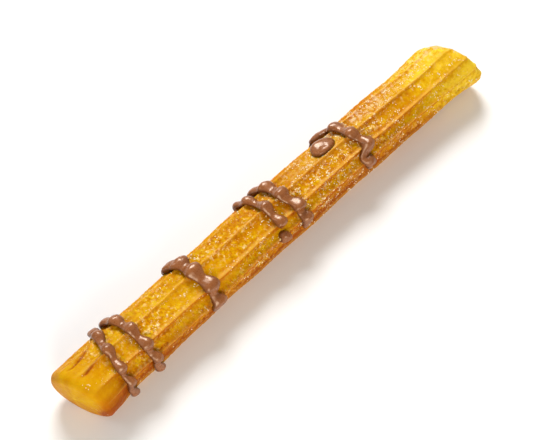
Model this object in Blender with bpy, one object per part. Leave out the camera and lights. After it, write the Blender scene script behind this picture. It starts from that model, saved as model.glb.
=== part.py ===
"""A churro: a stick of fried dough with nine thin ridges, under a drizzle of milk chocolate.

The stick lies along +X on the plane z = 0, with its near end at -X. Angles around it are
measured from straight up, and grow towards the front, -Y.
"""

import math

import bmesh
import bpy
from mathutils import Vector

# The stick, in metres.
LENGTH = 0.1926  # between the middles of the two end faces
NEAR_RADIUS = 0.0117  # over the ridges, at the near end
BODY_RADIUS = 0.0109
WAIST_RADIUS = 0.0110
FAR_RADIUS = 0.0118
RADII = ((0, NEAR_RADIUS), (0.25, BODY_RADIUS), (0.88, WAIST_RADIUS), (1, FAR_RADIUS))
BOW = 0.0014  # sideways bend of the whole stick
SINK = 0.0011  # how far the lowest ridges are pressed flat
END_SLANT = 0.0036  # the near end's face leans by this much on each side
FAR_SLANT = 0.0044  # and the far end's by this much
FAR_SLANT_FROM = 0.8  # the share of the length where the lean begins to change
END_DOME = 0.0008
# Rounding where the side turns into an end face: its mean, how much larger it is at its
# largest, and where that is, in degrees from the front of the top.
NEAR_CORNER = (0.0028, 0.0016, -60)
FAR_CORNER = (0.0038, 0.0012, -30)
CORNER_ZONE = 0.0065  # the length at each end that the rounding may take

# The ridges: degrees around the stick, seen from the near end, and their shape in metres.
RIDGES = (-41, -4, 40, 74, 116, 158, 199, 239, 279)
RIDGE_HEIGHT = 0.0010
RIDGE_WIDTH = 0.18  # of half the gap between two ridges
FLUTE_SAG = 0.0005  # hollow of the wide flutes between them
TOP_FRONT = math.radians(22)  # the side towards which the ridges crowd at the ends
NEAR_CROWDING = math.radians(6)
FAR_CROWDING = math.radians(10)
CROWDING_ENDS = (0.35, 0.60)  # the shares of the length between which they don't crowd
RIDGE_SWAY = math.radians(1.2)
RIDGE_RISE = 0.075  # the share of the length over which the ridges rise at the near end
RIDGE_SINK_FROM = 0.82  # the share where they begin to sink towards the far end
RIDGE_LOSS = 0.6  # and how much of them is gone there
# How far ridges bend aside along the stick, by ridge: a share of the length, and degrees.
RIDGE_BENDS = {
    1: ((0.30, 0), (0.42, 2), (0.64, 2), (0.80, 0)),
    2: ((0.35, 0), (0.43, -1.5), (0.60, -5), (0.68, -5), (0.80, 0), (1.00, -3)),
    3: ((0.20, 0), (0.42, -7), (0.60, -11.5), (0.80, -8.5), (1.00, -6)),
    4: ((0.35, 0), (0.62, -10), (0.80, -12), (0.93, -20)),
    5: ((0.60, 0), (0.93, -20)),
    6: ((0.60, 0), (0.93, -8)),
}
SWELL = 0.00015  # slow unevenness of the skin
NEAR_LOBE = 0.0010  # fuller lobes low on the front, at each end
FAR_LOBE = 0.0008
NEAR_LOBE_FALL = (0.02, 0.1)  # shares of the length over which the lobes come and go
FAR_LOBE_RISE = (0.92, 0.99)
LOW_FRONT = math.radians(102)
LOW_FRONT_REACH = math.radians(26)
BULGE = 0.0003  # smaller bulges that follow the near lobe
BULGE_PITCH = 0.0265
BULGE_FALL = (0.3, 0.45)

# How finely the stick is cut up.
GAP_STEPS = (0, 0.06, 0.15, 0.32, 0.5, 0.68, 0.85, 0.94)
SIDE_STEPS = 36
CORNER_STEPS = 4
FACE_STEPS = 3

# The chocolate, in metres and degrees.
GAP = 0.0003  # air between the chocolate and the dough
STRAND_HEIGHT = 0.0016
STRAND_STEPS = (0, 0.15, 0.32, 0.5, 0.68, 0.85)
BEAD_ANGLE = 34  # from one bead of a strand to the next
BEAD_SWELL = 0.14
END_ROUNDING = 14  # over which a strand's end comes to its tip
TIP_MARGIN = 2
STRETCH_LIMIT = 1.6  # how much wider along the stick a slanting strand is cut
# Six points around a strand: how far across, and how high, as shares of its half width and height.
STRAND_SECTION = ((-1, 0), (0, 0), (1, 0), (0.72, 0.7), (0, 1), (-0.72, 0.7))
# Each strand: its width, and where it runs, as pairs of the angle around and the place along.
STRANDS = (
    (0.0038, (
        (-112, 0.0206), (-88, 0.0210), (-64, 0.0200), (0, 0.0165),
        (40, 0.0154), (90, 0.0158), (122, 0.0165),
    )),
    (0.0043, (
        (-112, 0.0263), (-90, 0.0258), (-64, 0.0266), (3, 0.0275),
        (34, 0.0278), (84, 0.0286), (118, 0.0290),
    )),
    (0.0057, (
        (-114, 0.0545), (-92, 0.0570), (-66, 0.0580), (-5, 0.0582),
        (34, 0.0592), (84, 0.0588), (101, 0.0586),
    )),
    (0.0038, (
        (-110, 0.0910), (-90, 0.0916), (-62, 0.0922), (0, 0.0940), (50, 0.0943),
    )),
    (0.0046, (
        (-112, 0.0985), (-90, 0.0995), (-64, 0.1008), (3, 0.1018),
        (30, 0.1034), (78, 0.1036), (93, 0.1036),
    )),
    (0.0040, (
        (-106, 0.1265), (-86, 0.1306), (-64, 0.1358), (-7, 0.1372),
        (30, 0.1392), (53, 0.1352), (72, 0.1368), (89, 0.1370),
    )),
)
# Each blot: the angle around, the place along, its length, its width and its height.
BLOTS = {
    "chocolate_blob": (-24, 0.1268, 0.0104, 0.0076, 0.0020),
    "chocolate_drop": (69, 0.0934, 0.0042, 0.0052, 0.0020),
}
BLOT_RINGS = (1, 0.92, 0.7, 0.38)
BLOT_SIDES = 12
BLOT_REACH = math.radians(6)  # how far round a blot's underside looks for a ridge to clear


def ease(low, high, value):
    """Zero below low, one above high, and a smooth step between."""
    share = min(max((value - low) / (high - low), 0), 1)
    return share * share * (3 - 2 * share)


def through(knots, value):
    """The smooth curve through the knots, pairs in rising order, at a value."""
    result = knots[0][1]
    for (low, start), (high, end) in zip(knots, knots[1:]):
        result += (end - start) * ease(low, high, value)
    return result


def ridge_radius(along):
    """The radius over the ridges."""
    return through(RADII, along / LENGTH)


def axis(along):
    """The stick's centre line: its y and z."""
    share = min(max(along / LENGTH, 0), 1)
    return 4 * BOW * share * (1 - share), ridge_radius(along) - SINK


def ridge_angle(index, along):
    """Where a ridge stands around the stick. The count carries on past a full turn."""
    turns, number = divmod(index, len(RIDGES))
    base = math.radians(RIDGES[number])
    share = along / LENGTH
    near_end, far_start = CROWDING_ENDS
    crowding = NEAR_CROWDING * (1 - ease(0, near_end, share))
    crowding += FAR_CROWDING * ease(far_start, 1, share)
    sway = RIDGE_SWAY * math.sin((2.1 + 0.4 * number) * math.pi * share + 1.7 * number)
    aside = sway + math.radians(through(RIDGE_BENDS.get(number, ((0, 0),)), share))
    return base - crowding * math.sin(base - TOP_FRONT) + aside + math.tau * turns


def gap_angle(index, step, along):
    """The angle at a share of the way from one ridge to the next."""
    low = ridge_angle(index, along)
    return low + (ridge_angle(index + 1, along) - low) * step


def gap_share(angle, along):
    """The share of the way from one ridge to the next at an angle."""
    turn = math.tau * math.floor((angle - ridge_angle(0, along)) / math.tau)
    for index in range(len(RIDGES)):
        low = ridge_angle(index, along)
        high = ridge_angle(index + 1, along)
        if angle - turn <= high:
            return (angle - turn - low) / (high - low)
    return 0


def relief(share):
    """How far the skin lies below the ridges, at a share of the gap between two of them."""
    off = 1 - abs(2 * share - 1)
    ridge = 1 / (1 + (off / RIDGE_WIDTH) ** 2)
    return RIDGE_HEIGHT * (1 - ridge) + FLUTE_SAG * (1 - (1 - off) ** 2)


def swell(angle, along):
    """The slow unevenness of the skin, with the fuller lobes low on the front."""
    share = along / LENGTH
    waves = math.sin(19 * share + 2 * angle + 0.6) + math.sin(37 * share - angle + 2.1)
    low_front = math.exp(-(((angle - LOW_FRONT) / LOW_FRONT_REACH) ** 2))
    bulges = BULGE * math.cos(math.tau * along / BULGE_PITCH) * (1 - ease(*BULGE_FALL, share))
    lobes = NEAR_LOBE * (1 - ease(*NEAR_LOBE_FALL, share)) + FAR_LOBE * ease(*FAR_LOBE_RISE, share)
    return SWELL * waves + (bulges + lobes) * low_front


def fade(along):
    """The ridges die out towards the near end, and sink a little at the far one."""
    share = along / LENGTH
    return ease(0, RIDGE_RISE, share) * (1 - RIDGE_LOSS * ease(RIDGE_SINK_FROM, 1, share))


def skin_radius(angle, along, depth=1.0):
    """The dough's radius, with its relief at full depth or less."""
    dip = relief(gap_share(angle, along)) * fade(along) * depth
    return ridge_radius(along) - dip + swell(angle, along)


def slant(along):
    """How far the rings lean, which is like the nearest end."""
    return END_SLANT + (FAR_SLANT - END_SLANT) * ease(FAR_SLANT_FROM, 1, along / LENGTH)


def place(angle, along, radius, outward=0.0):
    """The point at an angle, a place along and a radius, on rings that lean like the ends."""
    side, height = axis(along)
    lean = slant(along) * math.sin(angle - TOP_FRONT) * radius / ridge_radius(along)
    y = side - radius * math.sin(angle)
    z = max(height + radius * math.cos(angle), 0)
    return Vector((along + lean + outward, y, z))


def add_object(name, mesh, material):
    """Puts a closed mesh in the scene, facing outwards and shaded smooth."""
    bmesh.ops.recalc_face_normals(mesh, faces=mesh.faces)
    bmesh.ops.triangulate(mesh, faces=[face for face in mesh.faces if len(face.verts) > 3])
    data = bpy.data.meshes.new(name)
    mesh.to_mesh(data)
    mesh.free()
    data.shade_smooth()
    data.materials.append(material)
    item = bpy.data.objects.new(name, data)
    bpy.context.collection.objects.link(item)
    return item


def add_material(name, colour, roughness):
    """A plain finish. The colour is linear."""
    material = bpy.data.materials.new(name)
    material.use_nodes = True
    material.diffuse_color = (*colour, 1)
    shader = material.node_tree.nodes["Principled BSDF"]
    shader.inputs["Base Color"].default_value = (*colour, 1)
    shader.inputs["Roughness"].default_value = roughness
    shader.inputs["Metallic"].default_value = 0
    return material


def bridge(mesh, rings):
    """Joins a row of rings, each a list of as many vertices, with quads."""
    for first, second in zip(rings, rings[1:]):
        for index, vertex in enumerate(first):
            after = (index + 1) % len(first)
            mesh.faces.new((vertex, first[after], second[after], second[index]))


def close(mesh, ring, tip):
    """Closes the end of a row of rings with a fan to its tip."""
    centre = mesh.verts.new(tip)
    for index, vertex in enumerate(ring):
        mesh.faces.new((vertex, ring[(index + 1) % len(ring)], centre))


def corner(end, angle):
    """The rounding at an end."""
    mean, swing, largest = end
    return mean + swing * math.cos(angle - TOP_FRONT - math.radians(largest))


def end_stations():
    """The rings of an end, from the middle of its face to the side: how far each lies in from
    the end and how far it is drawn in, as shares of the rounding, then its share of the
    radius, and how far it bulges outwards."""
    rows = []
    for step in range(1, FACE_STEPS + 1):
        share = step / FACE_STEPS
        rows.append((0, 1, share, END_DOME * (1 - share * share)))
    for step in range(1, CORNER_STEPS + 1):
        turn = math.pi / 2 * step / CORNER_STEPS
        rows.append((1 - math.cos(turn), 1 - math.sin(turn), 1, 0))
    return rows


def dough_ring(mesh, start, way, end, row):
    """One ring of the stick, counted in from an end: way is 1 at the near end, -1 at the far."""
    run, inset, share, bulge = row
    ring = []
    for index in range(len(RIDGES)):
        for step in GAP_STEPS:
            angle = gap_angle(index, step, start)
            reach = corner(end, angle)
            along = start + way * run * reach
            angle = gap_angle(index, step, along)
            radius = (skin_radius(angle, along) - inset * reach) * share
            ring.append(mesh.verts.new(place(angle, along, radius, -way * bulge)))
    return ring


def add_dough(material):
    """The ridged stick."""
    mesh = bmesh.new()
    rings = [dough_ring(mesh, 0, 1, NEAR_CORNER, row) for row in end_stations()]
    for step in range(SIDE_STEPS + 1):
        along = CORNER_ZONE + (LENGTH - 2 * CORNER_ZONE) * step / SIDE_STEPS
        rings.append(dough_ring(mesh, along, 1, NEAR_CORNER, (0, 0, 1, 0)))
    rings += [dough_ring(mesh, LENGTH, -1, FAR_CORNER, row) for row in end_stations()[::-1]]
    bridge(mesh, rings)
    close(mesh, rings[0], place(0, 0, 0, -END_DOME))
    close(mesh, rings[-1], place(0, LENGTH, 0, END_DOME))
    return add_object("dough", mesh, material)


def on_skin(angle, x, lift, depth=1.0):
    """The point of the dough's skin at an angle and an x, lifted off it."""
    along = x - END_SLANT * math.sin(angle - TOP_FRONT)
    return place(angle, along, skin_radius(angle, along, depth) + lift)


def strand_cuts(route):
    """Where a strand is cut across: the ridge, the share of the gap after it, and the angle
    in degrees. The cuts fall where the dough's own points do."""
    middle = through(route, (route[0][0] + route[-1][0]) / 2)
    cuts = []
    for index in range(-len(RIDGES), len(RIDGES)):
        for step in STRAND_STEPS:
            angle = math.degrees(gap_angle(index, step, middle))
            if route[0][0] + TIP_MARGIN < angle < route[-1][0] - TIP_MARGIN:
                cuts.append((index, step, angle))
    return cuts


def strand_ring(cut, route, half_width, height):
    """The points around a strand at a cut."""
    index, step, degrees = cut
    x = through(route, degrees)
    slope = (through(route, degrees + 1) - through(route, degrees - 1)) / math.radians(2)
    stretch = min(math.hypot(1, slope / BODY_RADIUS), STRETCH_LIMIT)
    points = []
    for across, lift in STRAND_SECTION:
        reach = x + across * half_width * stretch
        angle = gap_angle(index, step, reach)
        points.append(on_skin(angle, reach, GAP + height * lift, 1 - lift / 2))
    return points


def add_strand(name, width, route, material):
    """One beaded strand of chocolate, laid over the ridges from the back to the front."""
    first, last = route[0][0], route[-1][0]
    mesh = bmesh.new()
    rings = []
    for cut in strand_cuts(route):
        to_end = min(cut[2] - first, last - cut[2], END_ROUNDING) / END_ROUNDING
        round_off = math.sqrt(1 - (1 - to_end) ** 2)
        bead = 1 + BEAD_SWELL * math.cos(math.tau * (cut[2] - first) / BEAD_ANGLE)
        ring = strand_ring(cut, route, width / 2 * bead * round_off, STRAND_HEIGHT * bead * round_off)
        rings.append([mesh.verts.new(point) for point in ring])
    bridge(mesh, rings)
    for ring, angle in ((rings[0], first), (rings[-1], last)):
        close(mesh, ring, on_skin(math.radians(angle), through(route, angle), GAP + STRAND_HEIGHT / 4))
    return add_object(name, mesh, material)


def clear_lift(angle, x):
    """How far a blot's underside stands off the skin, to clear a ridge close by."""
    along = x - END_SLANT * math.sin(angle - TOP_FRONT)
    around = [skin_radius(angle + BLOT_REACH * step / 3, along) for step in range(-3, 4)]
    return GAP + max(around) - skin_radius(angle, along)


def blot_ring(angle, x, length, width, height, share):
    """A ring of points of a blot, at a share of its half size and a height over its foot."""
    points = []
    for side in range(BLOT_SIDES):
        turn = math.tau * side / BLOT_SIDES
        at = math.radians(angle) + share * width / 2 * math.sin(turn) / BODY_RADIUS
        reach = x + share * length / 2 * math.cos(turn)
        points.append(on_skin(at, reach, clear_lift(at, reach) + height))
    return points


def add_blot(name, blot, material):
    """A dome of chocolate on its own."""
    angle, x, length, width, height = blot
    mesh = bmesh.new()
    heights = [(share, height * math.sqrt(1 - share * share)) for share in BLOT_RINGS]
    rows = [(share, 0) for share in BLOT_RINGS[::-1]] + heights[1:]
    rings = []
    for share, lift in rows:
        points = blot_ring(angle, x, length, width, lift, share)
        rings.append([mesh.verts.new(point) for point in points])
    bridge(mesh, rings)
    centre = math.radians(angle)
    foot = clear_lift(centre, x)
    close(mesh, rings[0], on_skin(centre, x, foot))
    close(mesh, rings[-1], on_skin(centre, x, foot + height))
    return add_object(name, mesh, material)


def centre_on_origin(items):
    """Moves everything so that the origin is under the middle of the whole."""
    corners = [vertex.co for item in items for vertex in item.data.vertices]
    x = (min(c.x for c in corners) + max(c.x for c in corners)) / 2
    y = (min(c.y for c in corners) + max(c.y for c in corners)) / 2
    for item in items:
        item.location = (-x, -y, 0)


def main():
    for item in list(bpy.data.objects):
        bpy.data.objects.remove(item)
    crust = add_material("fried_dough", (0.67, 0.30, 0.03), 0.45)
    chocolate = add_material("milk_chocolate", (0.20, 0.072, 0.035), 0.25)
    items = [add_dough(crust)]
    for number, (width, route) in enumerate(STRANDS, start=1):
        items.append(add_strand(f"chocolate_strand_{number}", width, route, chocolate))
    for name, blot in BLOTS.items():
        items.append(add_blot(name, blot, chocolate))
    centre_on_origin(items)


main()
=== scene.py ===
"""The looks of a churro: golden fried dough with thin browned ridges, sugar that clings to it,
and a beaded drizzle of milk chocolate. Everything is in metres, in the frame of the solids.

Places on the stick are given by the angle around it, from straight up and growing towards
the front, and by the place along it, as in the part's own source.
"""

import itertools
import math
import random

import bpy
import numpy as np
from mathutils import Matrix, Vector, noise
from mathutils.bvhtree import BVHTree


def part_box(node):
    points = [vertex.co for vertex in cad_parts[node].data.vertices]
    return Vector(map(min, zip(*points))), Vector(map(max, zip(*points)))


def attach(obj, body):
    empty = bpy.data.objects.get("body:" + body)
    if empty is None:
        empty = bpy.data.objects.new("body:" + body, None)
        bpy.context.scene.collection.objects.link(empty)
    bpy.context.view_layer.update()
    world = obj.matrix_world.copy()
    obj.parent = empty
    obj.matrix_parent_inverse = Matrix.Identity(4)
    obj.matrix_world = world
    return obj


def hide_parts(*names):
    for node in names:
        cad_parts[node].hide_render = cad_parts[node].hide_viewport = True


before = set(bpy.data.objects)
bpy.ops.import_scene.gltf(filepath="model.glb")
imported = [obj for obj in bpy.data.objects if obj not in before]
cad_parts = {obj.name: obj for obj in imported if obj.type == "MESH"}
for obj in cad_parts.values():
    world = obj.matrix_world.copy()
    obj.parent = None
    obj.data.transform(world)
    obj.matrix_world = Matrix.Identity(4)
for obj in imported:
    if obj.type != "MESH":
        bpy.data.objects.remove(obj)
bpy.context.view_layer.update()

# The stick, as the part's source has it.
LENGTH = 0.1926
NEAR_RADIUS = 0.0117
BODY_RADIUS = 0.0109
WAIST_RADIUS = 0.0110
FAR_RADIUS = 0.0118
BOW = 0.0014
SINK = 0.0011
END_SLANT = 0.0036
FAR_SLANT = 0.0044
END_DOME = 0.0008
NEAR_CORNER = (0.0028, 0.0016, -60)
FAR_CORNER = (0.0038, 0.0012, -30)
CORNER_ZONE = 0.0065
RIDGES = (-41, -4, 40, 74, 116, 158, 199, 239, 279)
RIDGE_HEIGHT = 0.0010
RIDGE_WIDTH = 0.18
FLUTE_SAG = 0.0005
TOP_FRONT = math.radians(22)
NEAR_CROWDING = math.radians(6)
FAR_CROWDING = math.radians(10)
RIDGE_SWAY = math.radians(1.2)
# How far ridges bend aside along the stick, by ridge: a share of the length, and degrees.
RIDGE_BENDS = {
    1: ((0.30, 0), (0.42, 2), (0.64, 2), (0.80, 0)),
    2: ((0.35, 0), (0.43, -1.5), (0.60, -5), (0.68, -5), (0.80, 0), (1.00, -3)),
    3: ((0.20, 0), (0.42, -7), (0.60, -11.5), (0.80, -8.5), (1.00, -6)),
    4: ((0.35, 0), (0.62, -10), (0.80, -12), (0.93, -20)),
    5: ((0.60, 0), (0.93, -20)),
    6: ((0.60, 0), (0.93, -8)),
}
SWELL = 0.00015
NEAR_LOBE = 0.0010
FAR_LOBE = 0.0008
LOW_FRONT = math.radians(102)
LOW_FRONT_REACH = math.radians(26)
BULGE = 0.0003
BULGE_PITCH = 0.0265

# How finely the crust is cut up.
STEPS_PER_GAP = 20
STEP_CROWDING = 0.35  # how much closer the steps lie at the ridges
FACE_RINGS = 8
CORNER_RINGS = 10
SIDE_RINGS = 498

# The crust's own relief, as depths in metres.
CREST_NICK = 0.00022
CREST_LIP = 0.00014  # how far a ridge's edge stands up
CREST_UNDERCUT = 0.00020  # deeper just past each ridge, on the side away from the top
BLISTER = 0.00055
BLISTER_PITCH = 0.0014
WRINKLE = 0.00022
GRAIN = 0.00010
RIPPLE = 0.00012
RIPPLE_PITCH = 0.00120
RIPPLE_CREST_HIGHLIGHT = 0.30  # how strong the painted highlight is on the crests of the ripples low on the front
CREASE = 0.00040
# Creases in the smooth skin by the near end: the angle and the place along, at both ends of each.
CREASES = (((-24, 0.0050), (-41, 0.0200)), ((6, 0.0045), (-5, 0.0150)), ((-44, 0.0060), (-50, 0.0190)))
CREASE_REACH = 0.00050
ROUGH_LUMP = 0.008  # the size of the rougher and the smoother places
BESIDE_SHADE_REACH = 0.0014  # how far the painted shade next to the chocolate reaches

# Bands along a ridge: the middle and the half width, in metres past it.
CREST = (0, 0.0005)
# Painted highlight along the upper side of each ridge, partly the paler crust of the ridge.
CREST_HIGHLIGHT_BAND = (-0.00045, 0.00062)
# A browned line just under each ridge, deepened with painted shade.
CREST_SHADE_LINE = (0.00062, 0.00045)
# Painted shade on the flute just under each ridge, where it turns away from the light.
BELOW_RIDGE_SHADE = (0.00160, 0.00110)
ABOVE_RIDGE = (-0.00140, 0.00080)
UNDERCUT_BAND = (0.0006, 0.0004)
LIP_BAND = (-0.00005, 0.00028)

FAINTEST_LINE = (0.05, 0.60)  # how strong they are on top, by the near and the far end
LINE_IN_FRONT = (math.radians(-20), math.radians(38))
LINE_BEHIND = (math.radians(60), math.radians(110))
FAR_LINE_LOSS = 0.25
LOW_LINE_LAG = 0.0009  # how much further below its ridge a line lies, low on the front
LOW_LINE_FROM = (math.radians(46), math.radians(58))

# How far each thing moves the crust from 0 for pale yellow to 1 for brown. Marked ones are painted
# shade and highlight.
TONE_TABLE = {
    "all over": 0.345,
    "middle of the stick": 0.10,
    "past the middle": 0.10,
    "streaks": 0.11,
    "patches": 0.12,
    # Partly browned crust, partly painted shade on the lower front flank.
    "low on the front": 0.24,
    "underside": 0.20,
    "far end": -0.22,
    "near face": 0.04,
    # Painted shade on the flute just under each ridge.
    "painted shade below a ridge": 0.20,
    "above a ridge": 0.17,
    # Painted shade on the crust next to the strands, where they cast contact shadow.
    "painted shade beside the chocolate": 0.20,
    # Painted shade in the hollows of the wrinkles.
    "pits": 0.25,
    # A painted highlight on the blister tops.
    "blisters": -0.15,
    # Painted shade in the creases.
    "creases": 0.70,
    # Painted shade along the lower edge, partly browned crust too.
    "lower edge": 0.75,
    "low by the near end": 0.24,
    "behind by the near end": 0.20,
    # A painted highlight along the lower ridge.
    "on the lower ridge": -0.16,
}
STREAK_LUMP = 0.0022
STREAK_STRETCH = 5
PATCH_LUMP = 0.009
# Where the painted shade along the lower edge lies: the angle and its reach.
LOWER_EDGE = (math.radians(107), math.radians(17))
LOW_FRONT_SHARE = (0.78, 0.97)  # of the radius, out to the front
LOW_NEAR_SHARE = (0.55, 0.90)
BEHIND_FROM = (math.radians(28), math.radians(48))
# Where the painted highlight along the lower ridge lies: the angle and its reach.
LOWER_RIDGE = (math.radians(55), math.radians(9))
UNDER_SHARE = (0.1, 1.0)  # of the radius, down
FROST_ALONG = ((0.55, 0), (0.72, 0.8), (0.84, 0.8), (0.90, 0.25), (1, 0.75))
FROST = (math.radians(-50), math.radians(30))  # where pale sugar dust lies along the far third

# The chocolate.
STRANDS = {
    "chocolate_strand_1": (0.0038, (
        (-112, 0.0206), (-88, 0.0210), (-64, 0.0200), (0, 0.0165),
        (40, 0.0154), (90, 0.0158), (122, 0.0165),
    ), ((-112, 0.9), (-40, 0.95), (40, 0.90), (57, 0.65), (75, 0.8), (122, 0.8))),
    "chocolate_strand_2": (0.0043, (
        (-112, 0.0263), (-90, 0.0258), (-64, 0.0266), (3, 0.0275),
        (34, 0.0278), (84, 0.0286), (118, 0.0290),
    ), ((-112, 0.9), (-50, 0.95), (40, 0.92), (60, 0.75), (84, 0.75), (118, 0.8))),
    "chocolate_strand_3": (0.0057, (
        (-114, 0.0545), (-92, 0.0570), (-66, 0.0580), (-5, 0.0582),
        (34, 0.0592), (84, 0.0588), (101, 0.0586),
    ), ((-114, 1.1), (-60, 1.1), (-20, 1.0), (30, 1.0), (60, 0.75), (92, 1.1))),
    "chocolate_strand_4": (0.0038, (
        (-110, 0.0910), (-90, 0.0916), (-62, 0.0922), (0, 0.0940), (50, 0.0943),
    ), ((-110, 0.9), (-60, 0.85), (0, 1.0), (50, 1.0))),
    "chocolate_strand_5": (0.0046, (
        (-112, 0.0985), (-90, 0.0995), (-64, 0.1008), (3, 0.1018),
        (30, 0.1034), (78, 0.1036), (93, 0.1036),
    ), ((-112, 1.0), (-70, 1.05), (30, 1.0), (66, 0.85), (93, 0.95))),
    "chocolate_strand_6": (0.0040, (
        (-106, 0.1265), (-86, 0.1306), (-64, 0.1358), (-7, 0.1372),
        (30, 0.1392), (53, 0.1352), (72, 0.1368), (89, 0.1370),
    ), ((-106, 1.0), (0, 1.0), (30, 1.1), (60, 0.9), (89, 1.0))),
}
STRAND_HEIGHT = 0.0019
STRAND_SINK = 0.22  # share of the height that is bedded in the dough
STRAND_STEP = math.radians(1.5)
STRAND_SIDES = 22
BEAD_SWELL = 0.25
BEAD_RISE = 0.32
BEAD_AT = 0.98  # share of the way to the next ridge where a strand is fullest
ZIGZAG = 0.00020
BED_DIP = 0.0008
END_ROUNDING = math.radians(13)
BLOT_LUMPS = 0.22
LUMPS = 0.18  # the share by which the chocolate's height is uneven
LUMP_SIZE = 0.0022
FOOT_SHADE = 0.80  # how strongly painted shade darkens the chocolate where it meets the dough
BLOTS = {
    "chocolate_blob": (-24, 0.1268, 0.0100, 0.0076, 0.0018),
    "chocolate_drop": (69, 0.0934, 0.0042, 0.0052, 0.0020),
}
BLOT_RINGS = 14
BLOT_SIDES = 40
BLOT_SINK = 0.0003

# The sugar.
SUGAR_SEED = 11
SUGAR_ALONG = ((0, 0.03), (0.10, 0.15), (0.5, 0.4), (0.62, 1), (0.72, 0.9), (0.85, 0.7), (1, 0.2))
SUGAR_KINDS = (
    (300, (1, 1), 0.0, (0.00040, 0.00085)),
    (330, (3, 8), 0.00065, (0.00032, 0.00078)),
    (220, (6, 16), 0.00090, (0.00018, 0.00034)),
)
CLEAR_OF_FLOOR = 0.0006
GRAIN_JITTER = 0.16

# The colours, linear. The crust's run from 0 for pale to 1 for brown.
CRUST_COLOURS = (
    (0.00, (0.86, 0.58, 0.030)),
    (0.22, (0.73, 0.41, 0.004)),
    (0.45, (0.63, 0.285, 0.001)),
    (0.70, (0.54, 0.185, 0.001)),
    (1.00, (0.33, 0.068, 0.002)),
)
# The painted highlight along each ridge, partly the ridge's paler crust.
CREST_HIGHLIGHT_COLOUR = (0.70, 0.38, 0.060)
# The line under each ridge: browned crust and painted shade.
SHADED_BROWN_LINE = (0.50, 0.115, 0.001)
TOASTED_FLECK = (0.52, 0.165, 0.001)
# Painted glints on the crust's blister tops.
GLINT_FLECK_COLOUR = (0.93, 0.68, 0.30)
FROST_COLOUR = (1.00, 0.84, 0.54)
# The colour of the painted shade at the chocolate's foot.
CHOCOLATE_FOOT_SHADE = (0.080, 0.021, 0.006)
BLACK_TO_WHITE = ((0, 0, 0), (1, 1, 1))

# The camera, the light and the floor.
VIEW_AZIMUTH = math.radians(-45.8)
VIEW_ELEVATION = math.radians(60)
VIEW_DISTANCE = 0.75
VIEW_LENS = 138


# ---- The dough's form ----


def ease(low, high, value):
    """Zero below low, one above high, and a smooth step between."""
    share = np.clip((value - low) / (high - low), 0, 1)
    return share * share * (3 - 2 * share)


def through(knots, value):
    """The smooth curve through the knots, pairs in rising order, at a value."""
    result = knots[0][1]
    for (low, start), (high, end) in zip(knots, knots[1:]):
        result = result + (end - start) * ease(low, high, value)
    return result


def ridge_radius(along):
    """The radius over the ridges."""
    knots = ((0, NEAR_RADIUS), (0.25, BODY_RADIUS), (0.88, WAIST_RADIUS), (1, FAR_RADIUS))
    return through(knots, along / LENGTH)


def axis(along):
    """The stick's centre line: its y and z."""
    share = np.clip(along / LENGTH, 0, 1)
    return 4 * BOW * share * (1 - share), ridge_radius(along) - SINK


def ridge_angle(index, along):
    """Where a ridge stands around the stick. The count carries on past a full turn."""
    turns, number = np.divmod(index, len(RIDGES))
    base = np.radians(np.array(RIDGES)[number])
    share = along / LENGTH
    crowding = NEAR_CROWDING * (1 - ease(0, 0.35, share)) + FAR_CROWDING * ease(0.6, 1, share)
    sway = RIDGE_SWAY * np.sin((2.1 + 0.4 * number) * math.pi * share + 1.7 * number)
    for ridge, knots in RIDGE_BENDS.items():
        sway = sway + np.radians(np.where(number == ridge, through(knots, share), 0))
    return base - crowding * np.sin(base - TOP_FRONT) + sway + math.tau * turns


def turned(angle):
    """The same angle from minus half a turn to half a turn."""
    return np.mod(angle + math.pi, math.tau) - math.pi


def gap_angle(index, step, along):
    """The angle at a share of the way from one ridge to the next."""
    low = ridge_angle(index, along)
    return low + (ridge_angle(index + 1, along) - low) * step


def gap_share(angle, along):
    """The ridge before each angle, and the share of the way from it to the next."""
    turn = math.tau * np.floor((angle - ridge_angle(0, along)) / math.tau)
    index = np.zeros(np.shape(angle), int)
    for ridge in range(1, len(RIDGES)):
        index = index + (angle - turn >= ridge_angle(ridge, along))
    low = ridge_angle(index, along)
    return index, (angle - turn - low) / (ridge_angle(index + 1, along) - low)


def relief(share):
    """How far the skin lies below the ridges, at a share of the gap between two of them."""
    off = 1 - np.abs(2 * share - 1)
    ridge = 1 / (1 + (off / RIDGE_WIDTH) ** 2)
    return RIDGE_HEIGHT * (1 - ridge) + FLUTE_SAG * (1 - (1 - off) ** 2)


def swell(angle, along):
    """The slow unevenness of the skin, with the fuller lobes low on the front."""
    share = along / LENGTH
    waves = np.sin(19 * share + 2 * angle + 0.6) + np.sin(37 * share - angle + 2.1)
    low_front = np.exp(-(((angle - LOW_FRONT) / LOW_FRONT_REACH) ** 2))
    bulges = BULGE * np.cos(math.tau * along / BULGE_PITCH) * (1 - ease(0.3, 0.45, share))
    lobes = NEAR_LOBE * (1 - ease(0.02, 0.1, share)) + FAR_LOBE * ease(0.92, 0.99, share)
    return SWELL * waves + (bulges + lobes) * low_front


def fade(along):
    """The ridges die out towards the near end, and sink a little at the far one."""
    share = along / LENGTH
    return ease(0, 0.075, share) * (1 - 0.6 * ease(0.82, 1, share))


def skin_radius(angle, along):
    """The dough's radius, with its relief."""
    dip = relief(gap_share(angle, along)[1]) * fade(along)
    return ridge_radius(along) - dip + swell(angle, along)


def bed_radius(angle, along):
    """The radius that poured chocolate evens the skin out to."""
    dip = BED_DIP * (0.5 - 0.5 * np.cos(math.tau * gap_share(angle, along)[1]))
    return ridge_radius(along) - dip * fade(along) + swell(angle, along)


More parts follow.
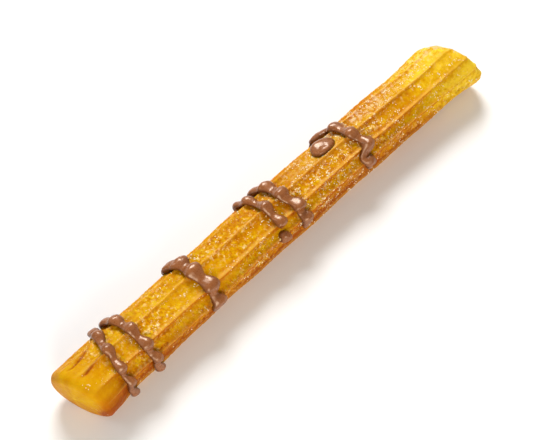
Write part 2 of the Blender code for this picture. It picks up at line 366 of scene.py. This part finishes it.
def on_bed(angle, reach, lift, height):
    """Points of poured chocolate at heights over the dough. The foot follows the dough itself."""
    along = reach - END_SLANT * np.sin(angle - TOP_FRONT)
    foot = skin_radius(angle, along)
    rise = ease(-0.3, 0.35, lift / height)
    radius = foot + (bed_radius(angle, along) - foot) * rise + lift
    return place(angle, along, radius)


def slant(along):
    """How far the rings lean, which is like the nearest end."""
    return END_SLANT + (FAR_SLANT - END_SLANT) * ease(0.8, 1, along / LENGTH)


def place(angle, along, radius, outward=0.0):
    """Points at angles, places along and radii, on rings that lean like the ends. They are in
    the frame of the solids, whose box around the dough gives the shift."""
    side, height = axis(along)
    lean = slant(along) * np.sin(angle - TOP_FRONT) * radius / ridge_radius(along)
    y = side - radius * np.sin(angle)
    z = np.maximum(height + radius * np.cos(angle), 0)
    return np.stack([along + lean + outward + SHIFT_X, y + SHIFT_Y, z], axis=-1)


def corner(end, angle):
    """The rounding at an end."""
    mean, swing, largest = end
    return mean + swing * np.cos(angle - TOP_FRONT - math.radians(largest))


# ---- The crust ----


def noise_at(points, size, seed):
    """Smooth noise from -1 to 1 at each point, with lumps of about a size in metres."""
    shift = Vector((7.3 * seed, 3.1 * seed, 5.7 * seed))
    flat = (points / size).reshape(-1, 3)
    values = [noise.noise(Vector(point) + shift) for point in flat]
    return np.array(values).reshape(points.shape[:-1])


def unrolled(angle, along, stretch=1.0):
    """Points on an even tube, for noise that doesn't follow the relief. A stretch over one
    draws the noise out along the stick."""
    y = BODY_RADIUS * np.sin(angle)
    z = BODY_RADIUS * np.cos(angle)
    return np.stack(np.broadcast_arrays(along / stretch, y, z), axis=-1)


def end_rings():
    """The rings of an end, from the middle of its face to the side: how far each lies in from
    the end and how far it is drawn in, as shares of the rounding, then its share of the
    radius, and how far it bulges outwards."""
    rows = []
    for step in range(1, FACE_RINGS + 1):
        share = step / FACE_RINGS
        rows.append((0, 1, share, END_DOME * (1 - share * share)))
    for step in range(1, CORNER_RINGS + 1):
        turn = math.pi / 2 * step / CORNER_RINGS
        rows.append((1 - math.cos(turn), 1 - math.sin(turn), 1, 0))
    return rows


def around_steps():
    """For each point around a ring: the ridge before it, and the share of the gap after it."""
    even = np.arange(STEPS_PER_GAP) / STEPS_PER_GAP
    crowded = even - STEP_CROWDING * np.sin(math.tau * even) / math.tau
    index = np.repeat(np.arange(len(RIDGES)), STEPS_PER_GAP)
    return index, np.tile(crowded, len(RIDGES))


def past_ridge(share):
    """How far past the nearest ridge a share of the gap lies, in metres along the skin."""
    return (share - np.round(share)) * math.tau * BODY_RADIUS / len(RIDGES)


def band(place_and_reach, past):
    """One at the middle of a band along a ridge, and fading out over its half width."""
    middle, reach = place_and_reach
    return np.exp(-(((past - middle) / reach) ** 2))


def blisters_at(points, pitch, seed):
    """Rounded blisters, one in each cell of a pitch and of uneven height, from 0 to 1."""
    shift = Vector((5.1 * seed, 8.9 * seed, 2.3 * seed))
    values = []
    for point in (points / pitch).reshape(-1, 3):
        distances, centres = noise.voronoi(Vector(point) + shift)
        tall = 0.5 + 0.5 * noise.cell(centres[0] * 9.7)
        dome = max(0.0, 1 - (distances[0] / 0.62) ** 2)
        values.append(dome * dome * tall)
    return np.array(values).reshape(points.shape[:-1])


def creases_at(angle, along):
    """How deep in a crease each point lies, from 0 to 1."""
    depth = np.zeros(np.shape(along))
    for (start_angle, start), (end_angle, end) in CREASES:
        share = np.clip((along - start) / (end - start), 0, 1)
        middle = np.radians(start_angle + (end_angle - start_angle) * share)
        aside = BODY_RADIUS * turned(angle - middle)
        beyond = np.maximum(np.maximum(start - along, along - end), 0)
        reach = CREASE_REACH * (0.6 + 0.4 * np.sin(math.pi * share))
        depth = np.maximum(depth, np.exp(-(aside**2 + beyond**2) / reach**2))
    return depth


def roughness_at(angle, along):
    """Where the crust is bubbly, from 0 by the near end to 1, with smoother places between."""
    lumps = noise_at(unrolled(angle, along, 2), ROUGH_LUMP, 6)
    return (0.35 + 0.65 * ease(-0.35, 0.2, lumps)) * ease(0.01, 0.10, along / LENGTH)


def fine_relief(angle, along, share):
    """The relief that is too fine for the solids, as a height in metres at each point, and
    how much of a blister, a pit and rough crust the point is, from 0 to 1."""
    skin = unrolled(angle, along)
    past = past_ridge(share)
    crest = band(CREST, past)
    rough = roughness_at(angle, along)
    flute = (1 - crest) * rough
    blisters = blisters_at(skin, BLISTER_PITCH, 1) * flute
    wrinkles = np.abs(noise_at(skin, 0.0019, 3)) + 0.6 * np.abs(noise_at(skin, 0.0010, 4))
    pits = ease(0.16, 0.0, wrinkles) * flute
    nicks = np.maximum(noise_at(skin, 0.0026, 1), -0.15) + 0.6 * noise_at(skin, 0.0011, 2)
    slant = along + 0.35 * BODY_RADIUS * angle
    phase = math.tau * slant / RIPPLE_PITCH + 3 * noise_at(skin, 0.003, 7)
    ripples = np.maximum(np.sin(phase), 0) * flute
    height = BLISTER * blisters - WRINKLE * pits + RIPPLE * ripples
    height = height - CREST_NICK * crest * np.abs(nicks) * ease(0.01, 0.09, along / LENGTH)
    undercut = CREST_UNDERCUT * band(UNDERCUT_BAND, past) * line_strength(angle, along)
    height = height + (CREST_LIP * band(LIP_BAND, past) - undercut) * fade(along)
    height = height - CREASE * creases_at(angle, along)
    height = height + GRAIN * noise_at(skin, 0.0007, 5) * (0.25 + 0.75 * rough)
    low = ease(*LOW_FRONT_SHARE, np.sin(angle))
    # The blister share takes in the ripples' crests low on the front, which get a painted highlight.
    return height, np.maximum(blisters, RIPPLE_CREST_HIGHLIGHT * ripples * low), pits, rough


def crust_block(start, way, end, rows):
    """Rings of the crust as arrays: the points, their angles, places along and other facts."""
    index, step = around_steps()
    run, inset, share, bulge = (np.array(column)[:, None] for column in zip(*rows))
    start = np.asarray(start, float).reshape(-1, 1)
    reach = corner(end, gap_angle(index, step, start))
    along = start + way * run * reach
    angle = gap_angle(index, step, along)
    fine, blisters, pits, rough = fine_relief(angle, along, np.broadcast_to(step, angle.shape))
    dip = relief(step) * fade(along)
    radius = (ridge_radius(along) - dip + swell(angle, along) - inset * reach + fine) * share
    points = place(angle, along, radius, -way * bulge)
    out = radius / ridge_radius(along)
    facts = np.broadcast_arrays(angle, along, step, out, blisters, pits, rough)
    return points, facts


def crust_grid():
    """All the rings of the crust, from the near end to the far one."""
    rows = end_rings()
    side = CORNER_ZONE + (LENGTH - 2 * CORNER_ZONE) * np.arange(SIDE_RINGS + 1) / SIDE_RINGS
    blocks = [
        crust_block([0] * len(rows), 1, NEAR_CORNER, rows),
        crust_block(side, 1, NEAR_CORNER, [(0, 0, 1, 0)] * len(side)),
        crust_block([LENGTH] * len(rows), -1, FAR_CORNER, rows[::-1]),
    ]
    points = np.concatenate([block[0] for block in blocks])
    facts = [np.concatenate(column) for column in zip(*(block[1] for block in blocks))]
    return points, facts


def tube_faces(rings, sides):
    """Quads between rings of points, and a fan at each end to one point after all the rings.
    The first ring's fan is at the lower end of the row."""
    ring = np.arange(rings - 1)[:, None] * sides
    here = np.arange(sides)[None, :]
    after = (here + 1) % sides
    quads = np.stack([ring + here, ring + sides + here, ring + sides + after, ring + after], -1)
    first, last = rings * sides, rings * sides + 1
    faces = [tuple(quad) for quad in quads.reshape(-1, 4).tolist()]
    top = (rings - 1) * sides
    for side in range(sides):
        turn = (side + 1) % sides
        faces.append((side, turn, first))
        faces.append((top + turn, top + side, last))
    return faces


def add_mesh(name, points, faces, material, smooth=True):
    """A new mesh object in the scene."""
    data = bpy.data.meshes.new(name)
    data.from_pydata([tuple(point) for point in points], [], faces)
    data.validate()
    if smooth:
        data.shade_smooth()
    data.materials.append(material)
    item = bpy.data.objects.new(name, data)
    bpy.context.scene.collection.objects.link(item)
    return item


def add_attribute(item, name, values):
    """A number for each vertex, which the material reads."""
    attribute = item.data.attributes.new(name, "FLOAT", "POINT")
    attribute.data.foreach_set("value", np.asarray(values, np.float32))


def crust_tone(angle, along, out, past, blisters, pits):
    """How brown the crust is at each point, from 0 to 1, with painted shade and painted highlights
    mixed in. The points lie out from the axis by a share of the radius, which falls to 0 over
    the end faces."""
    share = along / LENGTH
    ridged = fade(along)
    short_of_far = 1 - ease(0.8, 0.95, share)
    close = 1 - ease(0.10, 0.30, share)
    above = ease(*LINE_IN_FRONT, turned(angle)) - ease(*LOW_LINE_FROM, turned(angle))
    above = np.maximum(above, 0) * ease(0.2, 0.4, share)
    parts = {
        "all over": 1,
        "middle of the stick": ease(0.15, 0.4, share) * (1 - ease(0.72, 0.95, share)),
        "past the middle": ease(0.42, 0.56, share) * (1 - ease(0.80, 0.90, share)),
        "streaks": noise_at(unrolled(angle, along, STREAK_STRETCH), STREAK_LUMP, 21),
        "patches": noise_at(unrolled(angle, along, 2), PATCH_LUMP, 22),
        # Partly browned crust, partly painted shade on the lower front flank.
        "low on the front": ease(*LOW_FRONT_SHARE, out * np.sin(angle)) * short_of_far,
        "underside": ease(*UNDER_SHARE, -out * np.cos(angle)),
        "far end": ease(0.80, 0.97, share),
        "near face": 1 - ease(0.0, 0.03, share),
        # Painted shade on the flute just under each ridge.
        "painted shade below a ridge": band(BELOW_RIDGE_SHADE, past) * ridged * line_strength(angle, along),
        "above a ridge": band(ABOVE_RIDGE, past) * ridged * above,
        # Painted shade on the crust next to the strands.
        "painted shade beside the chocolate": chocolate_beside(angle, along),
        # Painted shade in the wrinkle hollows, and a painted highlight on the blister tops.
        "pits": pits,
        "blisters": blisters,
        # Painted shade in the creases.
        "creases": creases_at(angle, along),
        # Painted shade along the lower edge, partly browned crust too.
        "lower edge": band(LOWER_EDGE, angle) * out**6 * short_of_far,
        "low by the near end": ease(*LOW_NEAR_SHARE, out * np.sin(angle)) * close,
        "behind by the near end": ease(*BEHIND_FROM, -turned(angle)) * out * close,
        # A painted highlight along the lower ridge.
        "on the lower ridge": band(LOWER_RIDGE, angle) * out**6 * ease(0.3, 0.5, share),
    }
    return sum(TONE_TABLE[name] * part for name, part in parts.items())


def line_strength(angle, along):
    """The browned lines under the ridges, which are partly painted shade: faint on top, and fainter by
    the far end.
    """
    down = np.maximum(ease(*LINE_IN_FRONT, turned(angle)), ease(*LINE_BEHIND, -turned(angle)))
    near, far = FAINTEST_LINE
    faintest = near + (far - near) * ease(0.66, 0.76, along / LENGTH)
    return np.maximum(down, faintest) * (1 - FAR_LINE_LOSS * ease(0.7, 0.9, along / LENGTH))


def chocolate_beside(angle, along):
    """How close each point is to a strand of chocolate, from 0 to 1 at its edge."""
    around = np.degrees(turned(angle))
    reach = along + END_SLANT * np.sin(angle - TOP_FRONT)
    beside = np.zeros(np.shape(along))
    for width, route, _ in STRANDS.values():
        off = np.maximum(np.abs(reach - through(route, around)) - 0.4 * width, 0)
        within = (around > route[0][0]) & (around < route[-1][0])
        beside = np.maximum(beside, np.exp(-((off / BESIDE_SHADE_REACH) ** 2)) * within)
    return beside


def add_crust():
    """The dough's skin, with its browned crust, painted shade and painted highlights in attributes."""
    points, (angle, along, step, out, blisters, pits, rough) = crust_grid()
    rings, sides = points.shape[:2]
    tips = [
        place(np.zeros(()), np.zeros(()), np.zeros(()), -END_DOME),
        place(np.zeros(()), np.full((), LENGTH), np.zeros(()), END_DOME),
    ]
    everything = np.concatenate([points.reshape(-1, 3), tips])
    item = add_mesh("crust", everything, tube_faces(rings, sides), crust_material())
    past = past_ridge(step)
    broken = 0.8 + 0.5 * noise_at(unrolled(angle, along, 3), 0.0014, 23)
    low = ease(0.5, 0.8, np.sin(angle))
    lag = LOW_LINE_LAG * ease(*LOW_LINE_FROM, turned(angle))
    # The line under each ridge: browned crust deepened with painted shade.
    line = band(CREST_SHADE_LINE, past - lag) * fade(along) * line_strength(angle, along)
    rim = ease(0.75, 0.97, out)
    line = np.clip(line * (0.3 + 0.9 * broken), 0, 1) * rim
    facts = {
        # Painted highlight on the upper side of each ridge.
        "crest": band(CREST_HIGHLIGHT_BAND, past - 0.4 * lag) * fade(along) * broken * (1 - 0.35 * low) * rim,
        "line": line,
        "tone_shift": crust_tone(angle, along, out, past, blisters, pits),
        # Painted glints, most on the blister tops, fewer low on the front and on the lines.
        "glint": (0.30 + blisters) * (1 - 0.55 * low) * (1 - line),
        "pit": pits,
        "rough": rough,
        "frost": band(FROST, angle) * through(FROST_ALONG, along / LENGTH),
    }
    for name, values in facts.items():
        add_attribute(item, name, list(values.reshape(-1)) + [0.0, 0.0])
    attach(item, "root")
    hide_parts("dough")
    return item


# ---- The chocolate ----


def strand_line(route, knots_width, width):
    """A strand's middle line over the skin: angles, places along, half widths and heights."""
    first, last = math.radians(route[0][0]), math.radians(route[-1][0])
    count = int((last - first) / STRAND_STEP)
    angle = np.linspace(first, last, count + 1)
    x = through(route, np.degrees(angle))
    along = x - END_SLANT * np.sin(angle - TOP_FRONT)
    share = gap_share(angle, along)[1]
    bead = np.cos(math.tau * (share - BEAD_AT))
    sway = ZIGZAG * np.cos(math.tau * (share - BEAD_AT - 0.06))
    to_end = np.minimum(np.minimum(angle - first, last - angle), END_ROUNDING) / END_ROUNDING
    round_off = np.sqrt(1 - (1 - to_end) ** 2)
    wide = through(knots_width, np.degrees(angle))
    half = width / 2 * wide * (1 + BEAD_SWELL * bead) * round_off
    high = STRAND_HEIGHT * (1 + BEAD_RISE * bead) * np.sqrt(wide) * round_off
    return angle, x + sway * round_off, half, high


def add_strand(name, width, route, knots_width, material):
    """One rope of chocolate, beaded where it crosses each ridge."""
    angle, x, half, high = strand_line(route, knots_width, width)
    run = np.gradient(angle) * BODY_RADIUS
    rise = np.gradient(x)
    norm = np.hypot(run, rise)
    turn = np.linspace(0, math.tau, STRAND_SIDES, endpoint=False)
    across = half[:, None] * np.cos(turn)
    lift = high[:, None] * (0.5 - STRAND_SINK / 2 + (0.5 + STRAND_SINK / 2) * np.sin(turn))
    at = angle[:, None] - across * (rise / norm)[:, None] / BODY_RADIUS
    reach = x[:, None] + across * (run / norm)[:, None]
    lumps = 1 + LUMPS * noise_at(unrolled(at, reach), LUMP_SIZE, 31)
    points = on_bed(at, reach, lift * lumps, high[:, None] + STRAND_HEIGHT / 10)[1:-1]
    rings, sides = points.shape[:2]
    tips = [points[0].mean(axis=0), points[-1].mean(axis=0)]
    everything = np.concatenate([points.reshape(-1, 3), tips])
    item = add_mesh(name.replace("chocolate", "drizzle"), everything,
                    tube_faces(rings, sides), material)
    # Painted shade along the strand's foot, where it meets the dough.
    foot = np.broadcast_to(ease(0.85, -0.25, np.sin(turn)) * FOOT_SHADE, (rings, sides))
    add_attribute(item, "foot", list(foot.reshape(-1)) + [FOOT_SHADE] * 2)
    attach(item, "root")
    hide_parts(name)
    return item


def add_blot(name, blot, material):
    """A dome of chocolate on its own, with an uneven outline."""
    angle, x, length, width, height = blot
    share = np.sin(np.linspace(0, math.pi / 2, BLOT_RINGS + 1))[1:][::-1, None]
    turn = np.linspace(0, math.tau, BLOT_SIDES, endpoint=False)
    wobble = 1 + 0.03 * np.sin(2 * turn + x * 900) + 0.03 * np.sin(3 * turn + 1)
    at = math.radians(angle) + share * wobble * width / 2 * np.sin(turn) / BODY_RADIUS
    reach = x + share * wobble * length / 2 * np.cos(turn)
    lift = (height + BLOT_SINK) * np.sqrt(np.maximum(1 - share**2.3, 0)) - BLOT_SINK
    lift = lift * (1 + BLOT_LUMPS * noise_at(unrolled(at, reach), LUMP_SIZE, 32))
    points = on_bed(at, reach, lift, height)
    under = on_bed(at[:1], reach[:1], lift[:1] - 2 * BLOT_SINK, height)
    points = np.concatenate([under, points])
    tips = [points[0].mean(axis=0), points[-1].mean(axis=0)]
    everything = np.concatenate([points.reshape(-1, 3), tips])
    item = add_mesh(name.replace("chocolate", "drizzle"), everything,
                    tube_faces(*points.shape[:2]), material)
    # Painted shade under the blot and round its rim.
    rows = np.concatenate([[1.0], ease(0.86, 1.0, share[:, 0])]) * FOOT_SHADE
    foot = np.broadcast_to(rows[:, None], points.shape[:2])
    add_attribute(item, "foot", list(foot.reshape(-1)) + [FOOT_SHADE, 0.0])
    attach(item, "root")
    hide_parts(name)
    return item


# ---- The sugar ----

GOLDEN = (1 + math.sqrt(5)) / 2
CRYSTAL = [
    Vector(turned).normalized()
    for a in (-1, 1) for b in (-GOLDEN, GOLDEN)
    for turned in ((0, a, b), (a, b, 0), (b, 0, a))
]


def crystal_faces():
    """The triangles of the crystal: every three corners that are each other's neighbours."""
    reach = min((CRYSTAL[0] - other).length for other in CRYSTAL[1:]) * 1.01
    faces = []
    for a, b, c in itertools.combinations(range(len(CRYSTAL)), 3):
        one, two, three = CRYSTAL[a], CRYSTAL[b], CRYSTAL[c]
        if max((one - two).length, (two - three).length, (one - three).length) < reach:
            outward = (two - one).cross(three - one).dot(one) > 0
            faces.append((a, b, c) if outward else (a, c, b))
    return faces


CRYSTAL_FACES = crystal_faces()


def sugar_density(share, angle):
    """How likely sugar sticks at a place, from 0 to 1."""
    length = through(SUGAR_ALONG, share)
    return length * (0.62 + 0.38 * math.cos(angle))


def add_grain(points, faces, draw, centre, normal, size):
    """An uneven crystal bedded a little in the skin."""
    spin = Vector((draw.gauss(0, 1), draw.gauss(0, 1), draw.gauss(0, 1))).normalized()
    side = normal.cross(spin).normalized()
    other = side.cross(spin)
    stretch = (draw.uniform(0.8, 1.3), draw.uniform(0.7, 1.0), draw.uniform(0.6, 0.9))
    middle = centre + normal * size * 0.2
    start = len(points)
    for corner_at in CRYSTAL:
        a, b, c = (
            value * size / 2 * part * (1 + draw.uniform(-GRAIN_JITTER, GRAIN_JITTER))
            for value, part in zip(corner_at, stretch)
        )
        points.append(middle + side * a + other * b + spin * c)
    faces.extend(tuple(start + corner_at for corner_at in face) for face in CRYSTAL_FACES)


def sugar_places(draw):
    """Where the grains stick: the angle, the place along and the size of each. They lie in
    clusters of their own kinds, each a count, how many to a cluster, their spread and sizes."""
    for clusters, crowd, spread, sizes in SUGAR_KINDS:
        placed = 0
        while placed < clusters:
            share, angle = draw.uniform(0.005, 0.995), draw.uniform(-math.pi, math.pi)
            if draw.random() > sugar_density(share, angle):
                continue
            placed += 1
            for _ in range(draw.randint(*crowd)):
                aside = draw.gauss(0, spread) / BODY_RADIUS
                yield angle + aside, share * LENGTH + draw.gauss(0, spread), draw.uniform(*sizes)


def add_sugar(crust):
    """Grains that cling to the crust, as one mesh."""
    draw = random.Random(SUGAR_SEED)
    tree = BVHTree.FromObject(crust, bpy.context.evaluated_depsgraph_get())
    points, faces = [], []
    for angle, x, size in sugar_places(draw):
        side, height = axis(np.clip(x, 0, LENGTH))
        start = Vector((x + SHIFT_X, side + SHIFT_Y, height))
        hit, normal, _, _ = tree.ray_cast(start, Vector((0, -math.sin(angle), math.cos(angle))))
        if hit is not None and hit.z > CLEAR_OF_FLOOR:
            add_grain(points, faces, draw, hit, normal, size)
    item = add_mesh("sugar", points, faces, sugar_material(), smooth=False)
    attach(item, "root")
    return item


# ---- The materials ----


def new_material(name):
    """A material with its tree, its shader, and a short way to add a node."""
    material = bpy.data.materials.new(name)
    material.use_nodes = True
    tree = material.node_tree
    return material, tree, tree.nodes["Principled BSDF"]


def add_noise(tree, size, detail, seed=0.0):
    """Noise with lumps of about a size in metres. Gives its factor."""
    where = tree.nodes.new("ShaderNodeTexCoord")
    node = tree.nodes.new("ShaderNodeTexNoise")
    node.noise_dimensions = "4D"
    node.inputs["W"].default_value = seed
    node.inputs["Scale"].default_value = 1 / size
    node.inputs["Detail"].default_value = detail
    node.inputs["Roughness"].default_value = 0.6
    tree.links.new(where.outputs["Object"], node.inputs["Vector"])
    return node.outputs["Fac"]


def add_ramp(tree, factor, stops):
    """A colour ramp over a factor. Each stop is a position and a linear colour."""
    node = tree.nodes.new("ShaderNodeValToRGB")
    ramp = node.color_ramp
    while len(ramp.elements) < len(stops):
        ramp.elements.new(0.5)
    for element, (position, colour) in zip(ramp.elements, stops):
        element.position = position
        element.color = (*colour, 1)
    tree.links.new(factor, node.inputs["Fac"])
    return node.outputs["Color"]


def add_math(tree, operation, first, second):
    """A maths node. Each input is a socket or a number."""
    node = tree.nodes.new("ShaderNodeMath")
    node.operation = operation
    for socket, value in zip(node.inputs, (first, second)):
        if isinstance(value, (int, float)):
            socket.default_value = value
        else:
            tree.links.new(value, socket)
    return node.outputs[0]


def add_mix(tree, factor, first, second):
    """A mix of two colours, each a socket or a linear colour."""
    node = tree.nodes.new("ShaderNodeMix")
    node.data_type = "RGBA"
    tree.links.new(factor, node.inputs["Factor"])
    for socket, value in ((node.inputs[6], first), (node.inputs[7], second)):
        if isinstance(value, tuple):
            socket.default_value = (*value, 1)
        else:
            tree.links.new(value, socket)
    return node.outputs[2]


def add_bump(tree, height, distance, strength=1.0, normal=None):
    """Bump from a height of 0 to 1 that stands for a distance in metres."""
    node = tree.nodes.new("ShaderNodeBump")
    node.inputs["Strength"].default_value = strength
    node.inputs["Distance"].default_value = distance
    tree.links.new(height, node.inputs["Height"])
    if normal is not None:
        tree.links.new(normal, node.inputs["Normal"])
    return node.outputs["Normal"]


def add_value(tree, name):
    """A number that the mesh keeps for each vertex."""
    node = tree.nodes.new("ShaderNodeAttribute")
    node.attribute_name = name
    return node.outputs["Fac"]


def add_flecks(tree, size, seed, stops, strength):
    """A mask of flecks of a size in metres, where a strength from 0 to 1 lets them show."""
    mask = add_ramp(tree, add_noise(tree, size, 3, seed), tuple(zip(stops, BLACK_TO_WHITE)))
    return add_math(tree, "MULTIPLY", mask, strength)


def crust_material():
    """Oily fried dough: yellow where pale, orange and brown where fried darker, with painted shade and
    painted highlights on top.
    """
    material, tree, shader = new_material("fried_crust")
    rough = add_value(tree, "rough")
    mottle = add_math(tree, "SUBTRACT", add_noise(tree, 0.0015, 5, 1), 0.5)
    loud = add_math(tree, "ADD", add_math(tree, "MULTIPLY", rough, 1.5), 0.30)
    mottle = add_math(tree, "MULTIPLY", mottle, loud)
    base = add_ramp(tree, add_math(tree, "ADD", add_value(tree, "tone_shift"), mottle), CRUST_COLOURS)
    show = add_math(tree, "ADD", add_math(tree, "MULTIPLY", add_value(tree, "pit"), 0.6), 0.35)
    dark = add_flecks(tree, 0.0012, 2, (0.54, 0.60), add_math(tree, "MULTIPLY", show, rough))
    base = add_mix(tree, dark, base, TOASTED_FLECK)
    frosted = add_flecks(tree, 0.0015, 3, (0.50, 0.58), add_value(tree, "frost"))
    base = add_mix(tree, frosted, base, FROST_COLOUR)
    # Painted highlight along the upper side of each ridge.
    crest = add_math(tree, "MULTIPLY", add_value(tree, "crest"), 0.8)
    base = add_mix(tree, crest, base, CREST_HIGHLIGHT_COLOUR)
    # The line under each ridge: browned crust and painted shade.
    base = add_mix(tree, add_value(tree, "line"), base, SHADED_BROWN_LINE)
    # Pale flecks: painted glints on the blister tops.
    show = add_math(tree, "MULTIPLY", add_value(tree, "glint"), 1.4)
    pale = add_flecks(tree, 0.0014, 4, (0.54, 0.62), add_math(tree, "MULTIPLY", show, rough))
    base = add_mix(tree, pale, base, GLINT_FLECK_COLOUR)
    tree.links.new(base, shader.inputs["Base Color"])
    gloss = add_ramp(tree, add_noise(tree, 0.0012, 3, 5), ((0.3, (0.30,) * 3), (0.7, (0.55,) * 3)))
    tree.links.new(gloss, shader.inputs["Roughness"])
    normal = add_bump(tree, add_noise(tree, 0.0006, 5, 6), 0.00030)
    tree.links.new(normal, shader.inputs["Normal"])
    tree.links.new(normal, shader.inputs["Coat Normal"])
    shader.inputs["Specular IOR Level"].default_value = 0.03
    shader.inputs["Specular Tint"].default_value = (1.0, 0.72, 0.30, 1)
    shader.inputs["Coat Weight"].default_value = 0.05
    shader.inputs["Coat Roughness"].default_value = 0.14
    shader.inputs["Subsurface Weight"].default_value = 0.35
    shader.inputs["Subsurface Radius"].default_value = (1.0, 0.40, 0.05)
    shader.inputs["Subsurface Scale"].default_value = 0.0012
    return material


def chocolate_material():
    """Glossy milk chocolate, with painted shade where it meets the dough."""
    material, tree, shader = new_material("milk_chocolate")
    base = add_ramp(tree, add_noise(tree, 0.003, 3), (
        (0.3, (0.230, 0.071, 0.017)),
        (0.7, (0.320, 0.107, 0.028)),
    ))
    # Painted shade at the chocolate's foot.
    base = add_mix(tree, add_value(tree, "foot"), base, CHOCOLATE_FOOT_SHADE)
    tree.links.new(base, shader.inputs["Base Color"])
    rough = add_ramp(tree, add_noise(tree, 0.0015, 3), ((0.3, (0.22,) * 3), (0.7, (0.34,) * 3)))
    tree.links.new(rough, shader.inputs["Roughness"])
    normal = add_bump(tree, add_noise(tree, 0.0014, 2), 0.00014)
    tree.links.new(normal, shader.inputs["Normal"])
    shader.inputs["Specular IOR Level"].default_value = 0.8
    shader.inputs["Specular Tint"].default_value = (1.0, 0.86, 0.72, 1)
    return material


def sugar_material():
    """Clear to white sugar crystals, their warmth a painted stand-in for the dough seen through them.
    """
    material, tree, shader = new_material("sugar_crystal")
    base = add_ramp(tree, add_noise(tree, 0.0015, 2), (
        (0.3, (1.0, 0.72, 0.34)),
        (0.6, (1.0, 0.88, 0.62)),
    ))
    tree.links.new(base, shader.inputs["Base Color"])
    shader.inputs["Roughness"].default_value = 0.25
    shader.inputs["Specular IOR Level"].default_value = 0.6
    shader.inputs["Subsurface Weight"].default_value = 0.3
    shader.inputs["Subsurface Radius"].default_value = (1.0, 0.8, 0.5)
    shader.inputs["Subsurface Scale"].default_value = 0.0004
    return material


def floor_material():
    """Plain matt white."""
    material, tree, shader = new_material("plain_floor")
    shader.inputs["Base Color"].default_value = (0.92, 0.92, 0.92, 1)
    shader.inputs["Roughness"].default_value = 0.9
    shader.inputs["Specular IOR Level"].default_value = 0.0
    return material


# ---- The studio ----


def aim(item, target):
    """Turns a light or camera to face a point."""
    item.rotation_euler = (target - item.location).to_track_quat("-Z", "Y").to_euler()


def towards(azimuth, elevation):
    """The direction to something, with azimuth 0 in front of the stick and 90 at its far end."""
    level = math.cos(elevation)
    return Vector((level * math.sin(azimuth), -level * math.cos(azimuth), math.sin(elevation)))


def add_light(name, azimuth, elevation, distance, size, power, colour=(1, 1, 1)):
    """A square soft box aimed at the middle of the part."""
    data = bpy.data.lights.new(name, "AREA")
    data.size = size
    data.energy = power
    data.color = colour
    item = bpy.data.objects.new(name, data)
    item.location = MIDDLE + distance * towards(math.radians(azimuth), math.radians(elevation))
    bpy.context.scene.collection.objects.link(item)
    aim(item, MIDDLE)


def add_camera():
    """The camera, looking down along the stick from its near end."""
    data = bpy.data.cameras.new("camera")
    data.lens = VIEW_LENS
    item = bpy.data.objects.new("camera", data)
    item.location = MIDDLE + VIEW_DISTANCE * towards(VIEW_AZIMUTH, VIEW_ELEVATION)
    bpy.context.scene.collection.objects.link(item)
    aim(item, MIDDLE)
    bpy.context.scene.camera = item


def add_floor():
    """A wide plain floor under the part."""
    reach = 4.0
    points = [(-reach, -reach, 0), (reach, -reach, 0), (reach, reach, 0), (-reach, reach, 0)]
    add_mesh("floor", points, [(0, 1, 2, 3)], floor_material(), smooth=False)


def add_world():
    """Even white light from all around."""
    world = bpy.data.worlds.new("studio")
    world.use_nodes = True
    world.node_tree.nodes["Background"].inputs["Color"].default_value = (1, 1, 1, 1)
    world.node_tree.nodes["Background"].inputs["Strength"].default_value = 0.29
    bpy.context.scene.world = world


LOW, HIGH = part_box("dough")
MIDDLE = (LOW + HIGH) / 2
# The dough's own box, worked out from its form, puts the origin of the form in the frame.
SHIFT_X = 0.0
SHIFT_Y = 0.0
GRID = crust_grid()[0]
SHIFT_X = MIDDLE.x - (GRID[..., 0].min() + GRID[..., 0].max()) / 2
SHIFT_Y = LOW.y - GRID[..., 1].min()

crust = add_crust()
chocolate = chocolate_material()
for strand_name, (strand_width, strand_route, strand_knots) in STRANDS.items():
    add_strand(strand_name, strand_width, strand_route, strand_knots, chocolate)
for blot_name, blot_sizes in BLOTS.items():
    add_blot(blot_name, blot_sizes, chocolate)
add_sugar(crust)

add_world()
add_light("back_box", 145, 46, 0.9, 0.40, 8.6)
add_light("left_box", -135, 45, 0.9, 0.30, 0.6)
add_light("front_box", -35, 26, 0.9, 0.50, 5.5, (1.0, 0.91, 0.77))
add_camera()
add_floor()
bpy.context.scene.view_settings.view_transform = "Standard"
